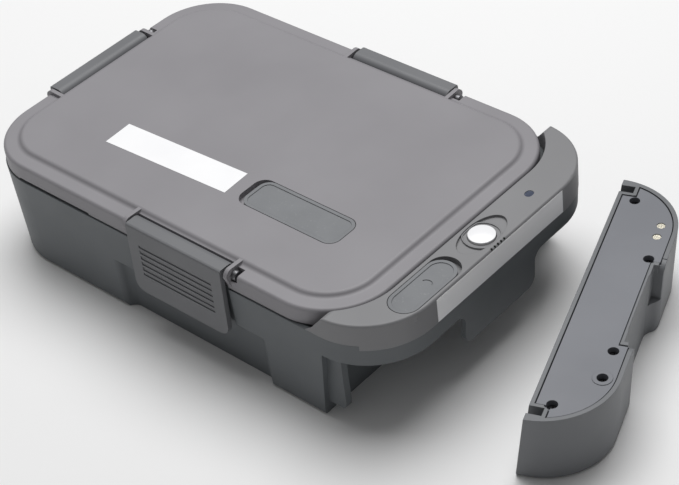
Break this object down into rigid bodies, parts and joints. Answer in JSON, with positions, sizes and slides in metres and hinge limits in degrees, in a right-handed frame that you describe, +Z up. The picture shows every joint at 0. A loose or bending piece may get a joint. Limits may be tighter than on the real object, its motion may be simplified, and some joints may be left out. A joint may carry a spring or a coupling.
{
  "type": "electric lunch box",
  "caption": "Cordless heated lunch box with a lift-off latched lid, vent flap, end control housing and a detached battery pack beside it",
  "frame": {"origin": "on the resting plane under the middle of the lid", "axes": "+X from the lid towards the control housing, +Y across the box away from the lift notch, +Z up"},
  "size_m": [0.3558, 0.1879, 0.0668],
  "materials": {
    "tub_plastic": "finely sparked matte moulding",
    "housing_plastic": "finely sparked matte moulding",
    "lid_plastic": "finely sparked matte moulding",
    "latch_plastic": "finely sparked matte moulding",
    "pack_plastic": "finely sparked matte moulding",
    "pack_plate_plastic": "fine matte moulding",
    "button_plastic": "smooth satin white",
    "flap_rubber": "soft matte",
    "plug_rubber": "soft matte",
    "pad_rubber": "soft matte",
    "label_stock": "smooth film label",
    "light_pipe": "dark smoked light pipe",
    "window_plastic": "smoked window",
    "black_plastic": "moulded black",
    "liner_plastic": "smooth food safe moulding",
    "gasket_silicone": "soft silicone",
    "insulation_foam": "pressed mineral felt",
    "film": "amber polyimide film",
    "sensor_body": "glazed ceramic bead",
    "board": "solder resist",
    "cell_wrap": "shrink wrap",
    "pan_metal": "drawn and brushed",
    "tray_steel": "brushed",
    "spreader_metal": "mill finish",
    "screw_steel": "plated",
    "dark_screw": "black zinc",
    "pin_steel": "polished pin",
    "contact_gold": "gold plated"
  },
  "bodies": {
    "base": {"tub_shell": "tub_plastic", "tub_feet": "pad_rubber", "heated_pan": "pan_metal", "food_tray": "tray_steel", "heater_plate": "spreader_metal", "heater_film": "film", "heat_sensor": "sensor_body", "insulation": "insulation_foam", "control_housing": "housing_plastic", "button_collar": "housing_plastic", "charge_lights": "light_pipe", "light_window": "window_plastic", "control_board": "board", "button_switch": "black_plastic", "dc_socket": "black_plastic", "socket_pin": "contact_gold", "contact_block": "black_plastic", "contact_pins": "contact_gold", "deck_screws": "screw_steel", "rim_label": "label_stock", "cover_foot": "flap_rubber"},
    "lid": {"lid_shell": "lid_plastic", "lid_liner": "liner_plastic", "lid_gasket": "gasket_silicone", "lid_label": "label_stock", "latch_pins": "pin_steel", "flap_foot": "flap_rubber"},
    "front_latch": {"latch_front": "latch_plastic"},
    "back_latch": {"latch_back": "latch_plastic"},
    "left_latch": {"latch_left": "latch_plastic"},
    "flap": {"vent_flap": "flap_rubber", "vent_plug": "plug_rubber"},
    "button": {"power_button": "button_plastic"},
    "cover": {"socket_cover": "flap_rubber"},
    "pack": {"pack_shell": "pack_plastic", "pack_top": "pack_plate_plastic", "pack_screws": "dark_screw", "pack_contacts": "contact_gold", "pack_cells": "cell_wrap", "pack_board": "board"}
  },
  "joints": [
    {"name": "lid_lift", "type": "slide", "parent": "base", "child": "lid", "axis": [0, 0, 1], "range_m": [0, 0.12]},
    {"name": "front_latch_swing", "type": "hinge", "parent": "lid", "child": "front_latch", "pos_m": [0.0215, -0.082, 0.0616], "axis": [-1, 0, 0], "range_deg": [0, 95]},
    {"name": "back_latch_swing", "type": "hinge", "parent": "lid", "child": "back_latch", "pos_m": [0.0215, 0.082, 0.0616], "axis": [1, 0, 0], "range_deg": [0, 95]},
    {"name": "left_latch_swing", "type": "hinge", "parent": "lid", "child": "left_latch", "pos_m": [-0.1205, 0.001, 0.0616], "axis": [0, 1, 0], "range_deg": [0, 95]},
    {"name": "vent_flap_swing", "type": "hinge", "parent": "lid", "child": "flap", "pos_m": [0.08445, -0.035, 0.0659], "axis": [0, 1, 0], "range_deg": [0, 90]},
    {"name": "socket_cover_swing", "type": "hinge", "parent": "base", "child": "cover", "pos_m": [0.1364, -0.06315, 0.0659], "axis": [1, 0, 0], "range_deg": [0, 90]},
    {"name": "button_press", "type": "slide", "parent": "base", "child": "button", "axis": [0, 0, -1], "range_m": [0, 0.001], "stiffness_N_per_m": 400, "springref_m": -0.0005},
    {"name": "pack_lift", "type": "slide", "parent": "base", "child": "pack", "axis": [0, 0, 1], "range_m": [0, 0.12]}
  ]
}
